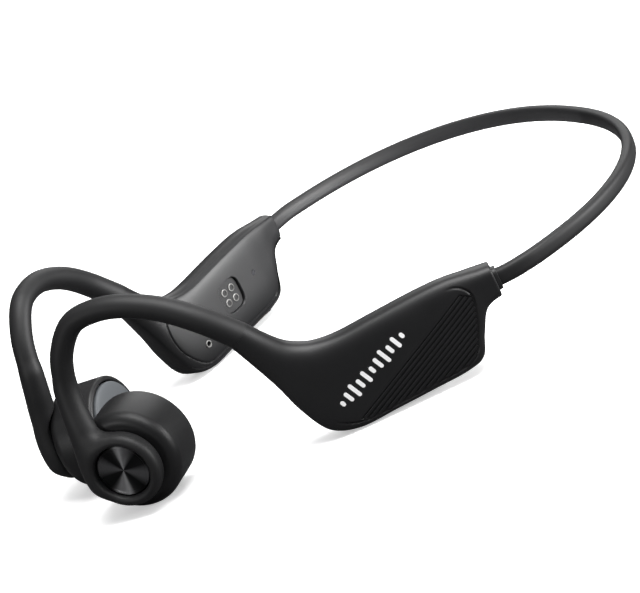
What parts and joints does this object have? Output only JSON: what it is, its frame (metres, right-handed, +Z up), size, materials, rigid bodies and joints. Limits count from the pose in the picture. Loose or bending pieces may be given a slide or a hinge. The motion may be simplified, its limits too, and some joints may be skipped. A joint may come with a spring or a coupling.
{
  "type": "bone conduction headphones",
  "caption": "Open-ear headphones with round cheek pods on ear hooks, flat behind-ear housings and a springy neckband that runs behind the head.",
  "frame": {"origin": "centre of the set's footprint, on the table it rests on", "axes": "+Z up, +Y toward the back of the neckband, +X toward the wearer's left; the wearer faces -Y"},
  "size_m": [0.118, 0.1414, 0.046],
  "materials": {
    "soft_black_silicone": "matte soft-touch skin",
    "housing_plastic": "fine matte texture",
    "pad_silicone": "matte grey skin pad",
    "spun_metal": "dark anodised, spun face",
    "spring_metal": "bare spring metal",
    "magnet_nickel": "nickel-plated",
    "coil_copper": "enamelled copper wire",
    "contact_gold": "gold-plated contacts",
    "cable_jacket": "thin cable jacket",
    "seal_rubber": "soft seal",
    "board_green": "solder-mask green",
    "chip_black": "moulded chip package",
    "cell_wrap": "foil pouch",
    "light_guide": "clear light guide"
  },
  "bodies": {
    "neckband": {"band_skin": "soft_black_silicone", "band_wire": "spring_metal", "band_cable": "cable_jacket"},
    "left_side": {"ear_hook_skin_left": "soft_black_silicone", "hook_wire_left": "spring_metal", "hook_cable_left": "cable_jacket", "housing_shell_left": "housing_plastic", "inner_cover_left": "housing_plastic", "cover_seal_left": "seal_rubber", "band_collar_left": "housing_plastic", "pod_shell_left": "housing_plastic", "pole_plate_left": "spring_metal", "magnet_left": "magnet_nickel", "magnet_yoke_left": "spring_metal", "battery": "cell_wrap", "protection_board": "board_green", "button_switch": "spring_metal", "button_board": "board_green"},
    "right_side": {"ear_hook_skin_right": "soft_black_silicone", "hook_wire_right": "spring_metal", "hook_cable_right": "cable_jacket", "housing_shell_right": "housing_plastic", "inner_cover_right": "housing_plastic", "cover_seal_right": "seal_rubber", "band_collar_right": "housing_plastic", "pod_shell_right": "housing_plastic", "pole_plate_right": "spring_metal", "magnet_right": "magnet_nickel", "magnet_yoke_right": "spring_metal", "end_cap_right": "spun_metal", "main_board": "board_green", "radio_module": "spring_metal", "audio_chip": "chip_black", "microphone": "spring_metal", "charge_port_insert": "housing_plastic", "charge_pin_1": "contact_gold", "charge_pin_2": "contact_gold", "charge_pin_3": "contact_gold", "charge_pin_4": "contact_gold", "port_magnet_front": "magnet_nickel", "port_magnet_rear": "magnet_nickel", "status_light_guide": "light_guide", "volume_down_switch": "spring_metal", "volume_up_switch": "spring_metal"},
    "left_transducer": {"skin_pad_left": "pad_silicone", "vibration_plate_left": "spring_metal", "suspension_spring_left": "spring_metal", "voice_coil_left": "coil_copper"},
    "right_transducer": {"skin_pad_right": "pad_silicone", "vibration_plate_right": "spring_metal", "suspension_spring_right": "spring_metal", "voice_coil_right": "coil_copper"},
    "multi_function_button": {"multi_function_button": "spun_metal"},
    "volume_down_button": {"volume_down_button": "housing_plastic"},
    "volume_up_button": {"volume_up_button": "housing_plastic"}
  },
  "joints": [
    {"name": "flex_left", "type": "hinge", "parent": "neckband", "child": "left_side", "pos_m": [0.026, 0.0649, 0.0176], "axis": [0, 0, 1], "range_deg": [0, 25], "stiffness_Nm_per_rad": 0.05, "deforming": ["band_skin", "band_wire", "band_cable"]},
    {"name": "flex_right", "type": "hinge", "parent": "neckband", "child": "right_side", "pos_m": [-0.026, 0.0649, 0.0176], "axis": [0, 0, -1], "range_deg": [0, 25], "stiffness_Nm_per_rad": 0.05, "deforming": ["band_skin", "band_wire", "band_cable"]},
    {"name": "transducer_left_vibrate", "type": "slide", "parent": "left_side", "child": "left_transducer", "axis": [0.7071, -0.7071, 0], "range_m": [-0.00015, 0.00015]},
    {"name": "transducer_right_vibrate", "type": "slide", "parent": "right_side", "child": "right_transducer", "axis": [-0.7071, -0.7071, 0], "range_m": [-0.00015, 0.00015]},
    {"name": "multi_function_button_press", "type": "slide", "parent": "left_side", "child": "multi_function_button", "axis": [-0.7071, 0.7071, 0], "range_m": [0, 0.00035]},
    {"name": "volume_down_press", "type": "slide", "parent": "right_side", "child": "volume_down_button", "axis": [0, 0, 1], "range_m": [0, 0.0003]},
    {"name": "volume_up_press", "type": "slide", "parent": "right_side", "child": "volume_up_button", "axis": [0, 0, 1], "range_m": [0, 0.0003]}
  ],
  "couplings": [
    {"joint": "flex_right", "follows": "flex_left", "ratio": 1}
  ]
}
